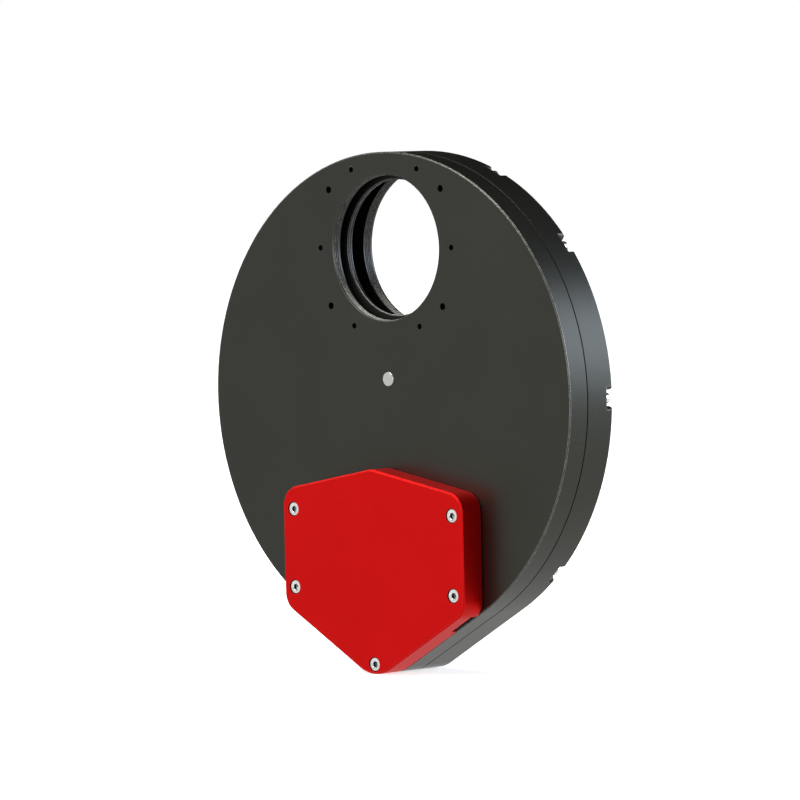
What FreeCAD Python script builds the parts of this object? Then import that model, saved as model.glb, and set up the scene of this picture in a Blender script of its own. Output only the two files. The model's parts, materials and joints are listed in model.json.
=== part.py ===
import FreeCAD, Part
import math
import os
import re
import Sketcher
from FreeCAD import Placement, Rotation, Vector

# Motorised filter wheel. Millimetres, +Z up, front towards -Y. The origin lies on the optical axis
# in the front face of the housing. A "depth" is a distance behind that face, along +Y.

SIZES = [
    # housing
    ("rim_gap", 0.8),
    ("camera_rim", 1.5),
    ("tip_radius", 14.5),
    ("tip_slope", 30.0),
    ("body_wall", 3.7),
    ("front_depth", 9.0),
    ("rear_depth", 12.3),
    ("front_plate", 3.6),
    ("rear_plate", 4.5),
    ("rear_rib_width", 1.6),
    ("rear_rib_depth", 3.0),
    ("edge_break", 0.35),
    ("seam_break", 0.06),
    ("seam_gap", 0.5),
    ("seam_gap_depth", 0.6),
    ("front_bore_radius", 25.2),
    ("front_bore_lead", 0.2),
    ("rear_bore_radius", 26.6),
    ("rear_bore_lead", 0.3),
    ("camera_circle_radius", 31.07),
    ("camera_hole_radius", 1.03),
    ("flange_hole_radius", 1.25),
    ("flange_spacing_x", 53.1),
    ("flange_spacing_z", 40.1),
    ("tapped_depth", 3.0),
    # screws that close the housing, in notches of the rear rim
    ("upper_notch_angle", 66.1),
    ("high_notch_angle", 38.3),
    ("lower_notch_angle", 45.9),
    ("shell_screw_inset", 2.1),
    ("notch_play", 0.85),
    ("notch_round", 1.9),
    ("notch_depth", 3.0),
    # carousel
    ("pitch_radius", 45.1),
    ("axle_lift", 6.0),
    ("gear_module", 1.0),
    ("root_share", 1.25),
    ("pinion_teeth", 16),
    ("pressure_angle", 20.0),
    ("backlash", 0.15),
    ("pockets", 5),
    ("carousel_gap", 2.05),
    ("carousel_thickness", 4.0),
    ("pocket_thread_radius", 23.6),
    ("pocket_thread_length", 2.15),
    ("cell_seat_radius", 25.3),
    ("pocket_rim", 0.85),
    ("web_hole_radius", 5.5),
    ("web_rim", 3.75),
    ("magnet_gap", 4.5),
    ("magnet_radius", 2.0),
    ("magnet_depth", 1.5),
    ("hub_radius", 9.0),
    # axle and its two ball bearings
    ("axle_radius", 2.5),
    ("axle_press_radius", 2.6),
    ("axle_flange_radius", 6.0),
    ("axle_flange_thickness", 1.2),
    ("axle_end_break", 0.25),
    ("axle_end_gap", 0.2),
    ("bearing_radius", 5.0),
    ("bearing_width", 3.0),
    ("bearing_inner_land", 3.3),
    ("bearing_outer_land", 4.2),
    ("bearing_recess", 0.3),
    ("bearing_spread", 2.0),
    ("web_lip", 0.9),
    ("ball_radius", 0.72),
    ("ball_play", 0.05),
    ("ball_count", 8),
    ("washer_thickness", 0.5),
    # motor
    ("motor_radius", 12.5),
    ("motor_height", 7.8),
    ("motor_can_wall", 0.5),
    ("motor_flange_thickness", 0.8),
    ("motor_ear_radius", 2.9),
    ("stator_inner_radius", 7.0),
    ("stator_end_gap", 0.9),
    ("rotor_gap", 0.5),
    ("rotor_end_gap", 0.7),
    ("shaft_radius", 1.0),
    ("shaft_play", 0.04),
    ("bush_radius", 3.0),
    ("pilot_depth", 1.5),
    ("bush_flange_length", 0.4),
    ("pilot_play", 0.05),
    ("pinion_width", 5.0),
    ("pinion_hub_radius", 4.0),
    ("pinion_hub_length", 2.6),
    ("shaft_stub", 0.4),
    # motor cover
    ("cover_half_width", 42.6),
    ("motor_top_gap", 0.3),
    ("cover_apex_drop", 24.4),
    ("cover_top_slope", 10.65),
    ("cover_corner_radius", 7.0),
    ("cover_wall", 2.0),
    ("cover_face", 1.6),
    ("cover_edge_break", 0.5),
    ("cover_base_break", 0.5),
    ("cover_screw_inset", 5.0),
    ("cover_screw_top_inset", 7.73),
    ("cover_screw_low_inset", 8.99),
    ("cover_screw_tip_inset", 3.35),
    ("counterbore_play", 0.3),
    ("counterbore_wall", 0.45),
    ("counterbore_floor", 0.9),
    ("post_radius", 2.2),
    # socket for the lead, in the lower right wall of the cover
    ("socket_inset", 7.4),
    ("socket_side_gap", 1.03),
    ("socket_play", 0.1),
    ("socket_width", 8.94),
    ("socket_height", 3.2),
    ("socket_length", 6.6),
    ("socket_recess", 0.7),
    ("socket_wall", 0.3),
    ("tongue_width", 6.7),
    ("tongue_thickness", 0.7),
    ("tongue_length", 4.6),
    # control board
    ("board_thickness", 1.6),
    ("board_edge_gap", 0.6),
    ("board_motor_gap", 3.4),
    ("board_post_gap", 0.6),
    ("board_screw_x", 24.0),
    ("board_screw_high", 37.5),
    ("board_screw_low", 60.5),
    ("board_screw_low_x", 32.5),
    ("spacer_radius", 2.0),
    ("sensor_width", 4.1),
    ("sensor_height", 3.0),
    ("sensor_thickness", 1.5),
    ("sensor_gap", 0.75),
    ("sensor_window_gap", 0.6),
    ("sensor_leg_width", 0.375),
    ("sensor_leg_pitch", 1.27),
    # chips on the board
    ("processor_width", 7.0),
    ("processor_thickness", 1.0),
    ("driver_width", 5.0),
    ("driver_thickness", 0.9),
    ("chip_pair_x", 16.0),
    ("chip_pair_drop", 47.0),
    ("regulator_width", 3.2),
    ("regulator_height", 2.5),
    ("regulator_thickness", 0.8),
    ("regulator_x", 4.0),
    ("regulator_drop", 42.0),
    ("capacitor_width", 6.0),
    ("capacitor_height", 3.5),
    ("capacitor_thickness", 1.8),
    ("capacitor_x", 28.0),
    ("capacitor_drop", 52.0),
    # leads from the motor to the board
    ("lead_radius", 0.35),
    ("lead_pitch", 1.25),
    ("lead_count", 4),
    ("lead_margin", 0.5),
    ("terminal_inset", 1.0),
    ("plug_gap", 0.2),
    ("plug_length", 4.5),
    ("plug_shoulder", 1.0),
    # fasteners: shank radius, head radius, head height, socket across corners, under 3 sizes
    ("small_shank", 1.0),
    ("small_head", 1.9),
    ("small_head_height", 2.0),
    ("small_flat_height", 1.2),
    ("small_socket", 0.85),
    ("cover_shank", 1.25),
    ("cover_head", 2.25),
    ("cover_head_height", 2.5),
    ("cover_socket", 1.15),
    ("axle_head_height", 1.3),
    ("head_break", 0.25),
    ("head_sink", 0.4),
    ("screw_bite", 4.8),
    ("short_bite", 2.4),
    ("hole_play", 0.1),
    ("screw_end_gap", 0.3),
]

doc = FreeCAD.newDocument("FilterWheel")
sheet = doc.addObject("Spreadsheet::Sheet", "Sizes")
for row, (alias, number) in enumerate(SIZES, start=1):
    sheet.set("A%d" % row, alias)
    sheet.set("B%d" % row, str(number))
    sheet.setAlias("B%d" % row, alias)
doc.recompute()


def value(text):
    """The number that an expression in the sheet's aliases stands for."""
    return float(sheet.evalExpression(text))


def bind(feature, path, text):
    """Ties a property to an expression in the sheet's aliases."""
    feature.setExpression(path, re.sub(r"\b([a-z]\w*)\b(?!\()", r"Sizes.\1", text))


# Places that several pieces share, as expressions.
BODY_Z = "-(pitch_radius + axle_lift)"
AXLE_Z = "-pitch_radius"
CAROUSEL_TEETH = ("round(2 * (pitch_radius + cell_seat_radius + pocket_rim) / gear_module"
                  " + 2 * root_share)")
CAROUSEL_ROOT = "gear_module * (%s / 2 - root_share)" % CAROUSEL_TEETH
WEB_HOLE_PLACE = "(%s - web_rim - web_hole_radius)" % CAROUSEL_ROOT
MAGNET_PLACE = "(%s - web_hole_radius - magnet_gap - magnet_radius)" % WEB_HOLE_PLACE
CENTRE_DISTANCE = "gear_module * (%s + pinion_teeth) / 2" % CAROUSEL_TEETH
# The housing holds the carousel's teeth, and its plate reaches past the topmost camera holes.
BODY_RADIUS = ("(body_wall + axle_lift + max(gear_module * (%s / 2 + 1) + rim_gap;"
               " pitch_radius + camera_circle_radius * cos(30) + camera_rim))" % CAROUSEL_TEETH)
SCREW_CIRCLE = "(%s - shell_screw_inset)" % BODY_RADIUS
MOTOR_Z = "-(pitch_radius + %s)" % CENTRE_DISTANCE
TOTAL_DEPTH = "(front_depth + rear_depth)"
REAR_INSIDE = "(front_depth + rear_depth - rear_plate)"
CAROUSEL_FRONT = "(front_plate + carousel_gap)"
CAROUSEL_REAR = "(front_plate + carousel_gap + carousel_thickness)"
FRONT_BEARING = "(front_plate + carousel_gap + bearing_recess)"
REAR_BEARING = "(front_plate + carousel_gap + bearing_recess + bearing_width + bearing_spread)"
BEARINGS_END = "(%s + bearing_width)" % REAR_BEARING
NOTCH_FLOOR = "(front_depth + rear_depth - notch_depth)"
EAR_PLACE = "(motor_radius + motor_ear_radius)"
COVER_INSIDE = "(motor_height + motor_top_gap)"
COVER_HEIGHT = "(motor_height + motor_top_gap + cover_face)"
HEAD_SEAT = "(%s - head_sink - cover_head_height)" % COVER_HEIGHT
COUNTERBORE = "(cover_head + counterbore_play)"
BOARD_LIFT = "(socket_height + socket_play)"
SOCKET_SLOT_HEIGHT = "socket_height + 2 * socket_play"
BOARD_FACE = "(%s + board_thickness)" % BOARD_LIFT
PLUG_HEIGHT = "(%s - %s - plug_gap)" % (COVER_INSIDE, BOARD_FACE)
SOCKET_X = "(cover_half_width - socket_inset)"
PINION_FRONT = "(%s + carousel_thickness / 2 - pinion_width / 2)" % CAROUSEL_FRONT
PINION_END = "(%s + pinion_width + pinion_hub_length)" % PINION_FRONT
NOTCH_ANGLES = ["upper_notch_angle", "high_notch_angle", "0", "-lower_notch_angle"]
COVER_SCREW_X = "(cover_half_width - cover_screw_inset)"
COVER_SCREW_HIGH = "cover_apex_drop + %s * tan(cover_top_slope) + cover_screw_top_inset" % (
    COVER_SCREW_X)
COVER_SCREW_LOW = "(%s - %s * sin(tip_slope)) / cos(tip_slope) - cover_screw_low_inset" % (
    BODY_RADIUS, COVER_SCREW_X)
COVER_SCREW_TIP = "(%s - tip_radius) / cos(tip_slope) + tip_radius - cover_screw_tip_inset" % (
    BODY_RADIUS)
COVER_SCREWS = [
    (COVER_SCREW_X, "(%s)" % COVER_SCREW_HIGH),
    ("-" + COVER_SCREW_X, "(%s)" % COVER_SCREW_HIGH),
    (COVER_SCREW_X, "(%s)" % COVER_SCREW_LOW),
    ("-" + COVER_SCREW_X, "(%s)" % COVER_SCREW_LOW),
    ("0", "(%s)" % COVER_SCREW_TIP),
]
BOARD_SCREWS = [
    ("board_screw_x", "board_screw_high"),
    ("-board_screw_x", "board_screw_high"),
    ("board_screw_low_x", "board_screw_low"),
    ("-board_screw_low_x", "board_screw_low"),
]
pieces = []


def below_body(drop):
    """The height of a point that lies a distance below the centre of the housing's circle."""
    return "%s - %s" % (BODY_Z, drop)


def keep(feature, label):
    """Names a finished piece and puts it on the list of nodes."""
    feature.Label = label
    pieces.append(feature)
    return feature


# PartDesign helpers


def new_body(name, z="0"):
    body = doc.addObject("PartDesign::Body", name)
    bind(body, "Placement.Base.z", z)
    return body


def origin_feature(body, role):
    return [item for item in body.Origin.OriginFeatures if item.Role == role][0]


def face_sketch(body, name, depth):
    """A sketch parallel to the front face, at a depth behind it. Its x is +X and its y is +Z."""
    sketch = body.newObject("Sketcher::SketchObject", name)
    sketch.AttachmentSupport = [(origin_feature(body, "XZ_Plane"), "")]
    sketch.MapMode = "FlatFace"
    bind(sketch, "AttachmentOffset.Base.z", "-(%s)" % depth)
    return sketch


def side_sketch(body, name):
    """A sketch in the plane x = 0 of a body, whose x is +Y and whose y is +Z."""
    sketch = body.newObject("Sketcher::SketchObject", name)
    sketch.AttachmentSupport = [(origin_feature(body, "YZ_Plane"), "")]
    sketch.MapMode = "FlatFace"
    return sketch


def pin_point(sketch, geometry, point, x, y):
    """Ties a point of a sketch to the origin by two distances."""
    for kind, text in (("DistanceX", x), ("DistanceY", y)):
        index = sketch.addConstraint(
            Sketcher.Constraint(kind, -1, 1, geometry, point, value(text)))
        bind(sketch, "Constraints[%d]" % index, text)


def add_circle(sketch, x, y, radius):
    centre = Vector(value(x), value(y), 0)
    circle = sketch.addGeometry(Part.Circle(centre, Vector(0, 0, 1), value(radius)), False)
    pin_point(sketch, circle, 3, x, y)
    index = sketch.addConstraint(Sketcher.Constraint("Radius", circle, value(radius)))
    bind(sketch, "Constraints[%d]" % index, radius)


def add_polygon(sketch, points):
    """A closed polygon whose corners are each tied to the sheet."""
    corners = [Vector(value(x), value(y), 0) for x, y in points]
    lines = []
    for index, corner in enumerate(corners):
        following = corners[(index + 1) % len(corners)]
        lines.append(sketch.addGeometry(Part.LineSegment(corner, following), False))
    for index, line in enumerate(lines):
        following = lines[(index + 1) % len(lines)]
        sketch.addConstraint(Sketcher.Constraint("Coincident", line, 2, following, 1))
    for line, (x, y) in zip(lines, points):
        pin_point(sketch, line, 1, x, y)


def add_box_outline(sketch, left, low, right, high):
    add_polygon(sketch, [(left, low), (right, low), (right, high), (left, high)])


def add_housing_outline(sketch, inset):
    """The housing's circle with the tangent tab below it, a distance inside the outer face."""
    radius = value("%s - (%s)" % (BODY_RADIUS, inset))
    tip_radius = value("tip_radius - (%s)" % inset)
    slope = math.radians(value("tip_slope"))
    centre = Vector(0, value(BODY_Z), 0)
    outward = Vector(math.sin(slope), -math.cos(slope), 0)
    mirrored = Vector(-outward.x, outward.y, 0)
    tip_centre = centre - Vector(0, (radius - tip_radius) / math.cos(slope), 0)
    start_angle = math.atan2(outward.y, outward.x)
    end_angle = math.atan2(mirrored.y, mirrored.x)
    up = Vector(0, 0, 1)
    rim = Part.ArcOfCircle(Part.Circle(centre, up, radius), start_angle, end_angle)
    tip = Part.ArcOfCircle(Part.Circle(tip_centre, up, tip_radius), end_angle, start_angle)
    right = Part.LineSegment(tip_centre + outward * tip_radius, centre + outward * radius)
    left = Part.LineSegment(centre + mirrored * radius, tip_centre + mirrored * tip_radius)
    rim, left, tip, right = [sketch.addGeometry(edge, False) for edge in (rim, left, tip, right)]
    for first, second in ((rim, left), (left, tip), (tip, right), (right, rim)):
        sketch.addConstraint(Sketcher.Constraint("Tangent", first, 2, second, 1))
    pin_point(sketch, rim, 3, "0", BODY_Z)
    sketch.addConstraint(Sketcher.Constraint("PointOnObject", tip, 3, -2))
    for arc, size in ((rim, BODY_RADIUS), (tip, "tip_radius")):
        text = "%s - (%s)" % (size, inset)
        index = sketch.addConstraint(Sketcher.Constraint("Radius", arc, value(text)))
        bind(sketch, "Constraints[%d]" % index, text)
    index = sketch.addConstraint(Sketcher.Constraint("Angle", right, slope))
    sketch.setExpression("Constraints[%d]" % index, "Sizes.tip_slope * 1 deg")


def pad(body, sketch, length, forward=False):
    """Adds material from the sketch towards the rear, or towards the front."""
    feature = body.newObject("PartDesign::Pad", sketch.Name + "Pad")
    feature.Profile = sketch
    feature.Reversed = not forward
    bind(feature, "Length", length)
    return finish(body, feature)


def pocket(body, sketch, length, forward=False):
    """Cuts from the sketch towards the rear, or towards the front."""
    feature = body.newObject("PartDesign::Pocket", sketch.Name + "Pocket")
    feature.Profile = sketch
    feature.Reversed = forward
    bind(feature, "Length", length)
    return finish(body, feature)


def finish(body, feature):
    body.Tip = feature
    doc.recompute()
    return feature


def dress(body, kind, name, base, edges, size):
    """A fillet or a chamfer on the edges of the last feature."""
    feature = body.newObject("PartDesign::" + kind, name)
    feature.Base = (base, edges)
    bind(feature, "Radius" if kind == "Fillet" else "Size", size)
    return finish(body, feature)


def edges_at_depth(feature, depth, test):
    """The edges that lie in the plane at a depth and pass a test on the edge."""
    names = []
    for index, edge in enumerate(feature.Shape.Edges, start=1):
        box = edge.BoundBox
        if abs(box.YMin - depth) + abs(box.YMax - depth) < 1e-5 and test(edge):
            names.append("Edge%d" % index)
    return names


def edges_round_face(feature, depth):
    """The edges round the outside of the face that lies in the plane at a depth."""
    names = []
    for face in feature.Shape.Faces:
        box = face.BoundBox
        if abs(box.YMin - depth) + abs(box.YMax - depth) > 1e-5:
            continue
        for index, edge in enumerate(feature.Shape.Edges, start=1):
            if any(edge.isSame(other) for other in face.OuterWire.Edges):
                names.append("Edge%d" % index)
    return names


def upright_edges(feature, points):
    """The straight edges along Y that stand on given points of the front view."""
    names = []
    for index, edge in enumerate(feature.Shape.Edges, start=1):
        box = edge.BoundBox
        if max(box.XLength, box.ZLength) > 1e-5:
            continue
        middle = box.Center
        if any(math.hypot(middle.x - x, middle.z - z) < 1e-4 for x, z in points):
            names.append("Edge%d" % index)
    return names


def is_outer(edge):
    """True for an edge of the outline, which reaches past the bores and the cavity."""
    centre_z = value(BODY_Z)
    reach = value("%s - body_wall / 2" % BODY_RADIUS)
    middle = edge.valueAt((edge.FirstParameter + edge.LastParameter) / 2)
    slope = math.radians(value("tip_slope"))
    across = abs(middle.x) * math.sin(slope) - (middle.z - centre_z) * math.cos(slope)
    on_tab = middle.z < centre_z and across > reach
    return on_tab or math.hypot(middle.x, middle.z - centre_z) > reach


def is_bore(radius):
    def test(edge):
        curve = edge.Curve
        round_edge = hasattr(curve, "Radius") and abs(curve.Radius - value(radius)) < 1e-6
        return round_edge and abs(curve.Center.x) + abs(curve.Center.z) < 1e-6
    return test


def housing_screw_places():
    """The (x, z) places of the housing screws, as expressions, from the top right round."""
    places = []
    for angle in NOTCH_ANGLES:
        x = "%s * cos(%s)" % (SCREW_CIRCLE, angle)
        z = "%s + %s * sin(%s)" % (BODY_Z, SCREW_CIRCLE, angle)
        places.append((x, z))
        places.append(("-" + x, z))
    return places


# Part helpers


def cylinder(name, radius, height, depth, x="0", z="0", forward=False):
    """A cylinder along Y that starts at a depth and runs to the rear, or to the front."""
    feature = doc.addObject("Part::Cylinder", name)
    bind(feature, "Radius", radius)
    bind(feature, "Height", height)
    feature.Placement = Placement(Vector(), Rotation(Vector(1, 0, 0), 90 if forward else -90))
    bind(feature, "Placement.Base.x", x)
    bind(feature, "Placement.Base.y", depth)
    bind(feature, "Placement.Base.z", z)
    return feature


def box(name, width, length, height, x, depth, z):
    """A box centred on x and z, whose front is at a depth: width along X, length along Y."""
    feature = doc.addObject("Part::Box", name)
    bind(feature, "Length", width)
    bind(feature, "Width", length)
    bind(feature, "Height", height)
    bind(feature, "Placement.Base.x", "%s - (%s) / 2" % (x, width))
    bind(feature, "Placement.Base.y", depth)
    bind(feature, "Placement.Base.z", "%s - (%s) / 2" % (z, height))
    return feature


def fuse(name, shapes):
    feature = doc.addObject("Part::MultiFuse", name)
    feature.Shapes = shapes
    return feature


def cut(name, base, tool):
    feature = doc.addObject("Part::Cut", name)
    feature.Base = base
    feature.Tool = tool
    return feature


def compound(name, shapes):
    feature = doc.addObject("Part::Compound", name)
    feature.Links = shapes
    return feature


def screw(name, shank, length, head, head_height, socket):
    """A socket cap screw along its own +Z, with its head's seat at z = 0."""
    parts = []
    for suffix, radius, height, base in (
            ("Shank", shank, length, "0"),
            ("Head", head, "%s - head_break" % head_height, "head_break - %s" % head_height)):
        feature = doc.addObject("Part::Cylinder", name + suffix)
        bind(feature, "Radius", radius)
        bind(feature, "Height", height)
        bind(feature, "Placement.Base.z", base)
        parts.append(feature)
    crown = doc.addObject("Part::Cone", name + "Crown")
    bind(crown, "Radius1", "%s - head_break" % head)
    bind(crown, "Radius2", head)
    bind(crown, "Height", "head_break")
    bind(crown, "Placement.Base.z", "-(%s)" % head_height)
    hexagon = doc.addObject("Part::Prism", name + "Hexagon")
    hexagon.Polygon = 6
    bind(hexagon, "Circumradius", socket)
    bind(hexagon, "Height", "%s / 2" % head_height)
    bind(hexagon, "Placement.Base.z", "-(%s)" % head_height)
    return cut(name, fuse(name + "Blank", parts + [crown]), hexagon)


def placed_copies(name, original, places, depth, forward=False):
    """Copies of a screw at (x, z) places, its shank towards the rear or the front."""
    links = []
    for index, (x, z) in enumerate(places):
        link = doc.addObject("App::Link", "%s%d" % (name, index))
        link.LinkedObject = original
        link.Placement = Placement(Vector(), Rotation(Vector(1, 0, 0), 90 if forward else -90))
        bind(link, "Placement.Base.x", x)
        bind(link, "Placement.Base.y", depth)
        bind(link, "Placement.Base.z", z)
        links.append(link)
    return compound(name + "Set", links)


# Housing


def front_shell():
    body = new_body("FrontShell")
    outline = face_sketch(body, "FrontOutline", "0")
    add_housing_outline(outline, "0")
    pad(body, outline, "front_depth")
    cavity = face_sketch(body, "FrontCavity", "front_plate")
    add_housing_outline(cavity, "body_wall")
    pocket(body, cavity, "front_depth - front_plate")
    bore = face_sketch(body, "FrontBore", "0")
    add_circle(bore, "0", "0", "front_bore_radius")
    last = pocket(body, bore, "front_plate")
    last = dress(body, "Chamfer", "FrontBoreLead", last,
                 edges_at_depth(last, 0, is_bore("front_bore_radius")), "front_bore_lead")
    last = dress(body, "Chamfer", "FrontEdgeBreak", last,
                 edges_at_depth(last, 0, is_outer), "edge_break")
    seam = face_sketch(body, "SeamGroove", "front_depth - seam_gap")
    add_housing_outline(seam, "-seam_gap")
    add_housing_outline(seam, "seam_gap_depth")
    pocket(body, seam, "seam_gap")

    camera = face_sketch(body, "CameraHole", "0")
    add_circle(camera, "camera_circle_radius", "0", "camera_hole_radius")
    first_hole = pocket(body, camera, "tapped_depth")
    pattern = body.newObject("PartDesign::PolarPattern", "CameraHoles")
    pattern.Originals = [first_hole]
    pattern.Axis = (origin_feature(body, "Y_Axis"), [""])
    pattern.Angle = 360
    pattern.Occurrences = 6
    finish(body, pattern)

    flange = face_sketch(body, "FlangeHoles", "0")
    for x in ("flange_spacing_x / 2", "-flange_spacing_x / 2"):
        for z in ("flange_spacing_z / 2", "-flange_spacing_z / 2"):
            add_circle(flange, x, z, "flange_hole_radius")
    pocket(body, flange, "tapped_depth")

    cover_holes = face_sketch(body, "CoverHoles", "0")
    for x, drop in COVER_SCREWS:
        add_circle(cover_holes, x, below_body(drop), "cover_shank")
    pocket(body, cover_holes, "tapped_depth")

    small_holes = face_sketch(body, "SmallHoles", "0")
    for x, drop in BOARD_SCREWS:
        add_circle(small_holes, x, below_body(drop), "small_shank")
    for x in (EAR_PLACE, "-" + EAR_PLACE):
        add_circle(small_holes, x, MOTOR_Z, "small_shank")
    pocket(body, small_holes, "tapped_depth")

    seats = face_sketch(body, "AxleAndPilotHoles", "0")
    add_circle(seats, "0", AXLE_Z, "axle_press_radius")
    add_circle(seats, "0", MOTOR_Z, "bush_radius + pilot_play")
    pocket(body, seats, "front_plate")

    window = face_sketch(body, "SensorWindow", "0")
    middle = "-(pitch_radius + %s)" % MAGNET_PLACE
    add_box_outline(window, "-(sensor_width / 2 + sensor_window_gap)",
                    "%s - sensor_height / 2 - sensor_window_gap" % middle,
                    "sensor_width / 2 + sensor_window_gap",
                    "%s + sensor_height / 2 + sensor_window_gap" % middle)
    pocket(body, window, "front_plate")

    threads = face_sketch(body, "HousingScrewHoles", "front_depth")
    for x, z in housing_screw_places():
        add_circle(threads, x, z, "small_shank")
    pocket(body, threads, "screw_bite + screw_end_gap", forward=True)
    return keep(body, "front_shell")


def add_notch(sketch, angle):
    """A notch open to the rim: a round inner end, straight walls and rounded outer corners."""
    half_width = value("small_head + notch_play")
    corner = value("notch_round")
    rim = value(BODY_RADIUS)
    inner = value(SCREW_CIRCLE)
    beyond = rim + corner
    wide = half_width + corner
    diagonal = corner * math.sqrt(0.5)
    centre = Vector(0, value(BODY_Z), 0)
    turn = Rotation(Vector(0, 0, 1), angle)

    def place(radial, across):
        return centre + turn.multVec(Vector(radial, across, 0))

    def line(start, end):
        return Part.LineSegment(place(*start), place(*end))

    def arc(start, middle, end):
        return Part.Arc(place(*start), place(*middle), place(*end))

    edges = [
        line((inner, -half_width), (rim - corner, -half_width)),
        arc((rim - corner, -half_width), (rim - corner + diagonal, diagonal - wide),
            (rim, -wide)),
        line((rim, -wide), (beyond, -wide)),
        line((beyond, -wide), (beyond, wide)),
        line((beyond, wide), (rim, wide)),
        arc((rim, wide), (rim - corner + diagonal, wide - diagonal),
            (rim - corner, half_width)),
        line((rim - corner, half_width), (inner, half_width)),
        arc((inner, half_width), (inner - half_width, 0), (inner, -half_width)),
    ]
    for edge in edges:
        sketch.addGeometry(edge, False)


def rear_shell():
    body = new_body("RearShell")
    outline = face_sketch(body, "RearOutline", "front_depth")
    add_housing_outline(outline, "0")
    pad(body, outline, "rear_depth")
    cavity = face_sketch(body, "RearCavity", "front_depth")
    add_housing_outline(cavity, "body_wall + rear_rib_width")
    pocket(body, cavity, "rear_depth - rear_plate")
    wide_cavity = face_sketch(body, "RearWideCavity", "front_depth")
    add_housing_outline(wide_cavity, "body_wall")
    pocket(body, wide_cavity, "rear_depth - rear_plate - rear_rib_depth")
    bore = face_sketch(body, "RearBore", REAR_INSIDE)
    add_circle(bore, "0", "0", "rear_bore_radius")
    last = pocket(body, bore, "rear_plate")
    last = dress(body, "Chamfer", "RearBoreLead", last,
                 edges_at_depth(last, value(TOTAL_DEPTH), is_bore("rear_bore_radius")),
                 "rear_bore_lead")
    last = dress(body, "Chamfer", "RearEdgeBreak", last,
                 edges_at_depth(last, value(TOTAL_DEPTH), is_outer), "edge_break")
    dress(body, "Chamfer", "RearSeamBreak", last,
          edges_at_depth(last, value("front_depth"), is_outer), "seam_break")
    notches = face_sketch(body, "Notches", NOTCH_FLOOR)
    for text in NOTCH_ANGLES:
        angle = value(text)
        add_notch(notches, angle)
        add_notch(notches, 180 - angle)
    pocket(body, notches, "notch_depth")
    holes = face_sketch(body, "HousingScrewClearance", "front_depth")
    for x, z in housing_screw_places():
        add_circle(holes, x, z, "small_shank + hole_play")
    pocket(body, holes, "rear_depth")
    return keep(body, "rear_shell")


def housing_screws():
    length = "rear_depth - notch_depth + screw_bite"
    original = screw("ShellScrew", "small_shank", length, "small_head", "small_head_height",
                     "small_socket")
    places = housing_screw_places()
    return keep(placed_copies("ShellScrew", original, places, NOTCH_FLOOR, forward=True),
                "shell_screws")


# Carousel


def gear_profile(name, teeth):
    """A face with involute teeth about the origin of the XZ plane, a gap centred on +Z."""
    module = value("gear_module")
    count = round(value(teeth))
    pitch = module * count / 2
    base = pitch * math.cos(math.radians(value("pressure_angle")))
    root = pitch - value("root_share") * module
    tip = pitch + module
    half_tooth = math.pi / (2 * count) - value("backlash") / (4 * pitch)

    def flank_angle(radius):
        """Half the angle that a tooth spans at a radius."""
        def involute(at):
            slant = math.acos(min(1.0, base / at))
            return math.tan(slant) - slant
        return half_tooth + involute(pitch) - involute(max(radius, base))

    points = []
    for index in range(count):
        middle = math.pi / 2 + 2 * math.pi * (index + 0.5) / count
        flank = [(radius, flank_angle(radius)) for radius in (root, pitch, tip)]
        outline = [(radius, -half) for radius, half in flank]
        outline += [(radius, half) for radius, half in reversed(flank)]
        for radius, angle in outline:
            points.append(Vector(radius * math.cos(middle + angle), 0,
                                 radius * math.sin(middle + angle)))
    feature = doc.addObject("Part::Feature", name)
    feature.Shape = Part.Face(Part.makePolygon(points + points[:1]))
    return feature


def toothed_disc(name, teeth, width, depth, z, turn):
    """A gear blank with its teeth, turned about its own axis by a number of degrees."""
    profile = gear_profile(name + "Profile", teeth)
    feature = doc.addObject("Part::Extrusion", name)
    feature.Base = profile
    feature.DirMode = "Custom"
    feature.Dir = Vector(0, 1, 0)
    feature.Solid = True
    bind(feature, "LengthFwd", width)
    feature.Placement = Placement(Vector(), Rotation(Vector(0, 1, 0), turn))
    bind(feature, "Placement.Base.y", depth)
    bind(feature, "Placement.Base.z", z)
    return feature


def around_axle(radius, angle):
    """The (x, z) place at a radius from the carousel's axis, at an angle from the top."""
    x = "-%s * sin(%s)" % (radius, angle)
    z = "%s + %s * cos(%s)" % (AXLE_Z, radius, angle)
    return x, z


def magnet_places():
    step = "360 / pockets"
    return [around_axle(MAGNET_PLACE, "%s * %.1f" % (step, index + 0.5))
            for index in range(int(value("pockets")))]


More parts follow.
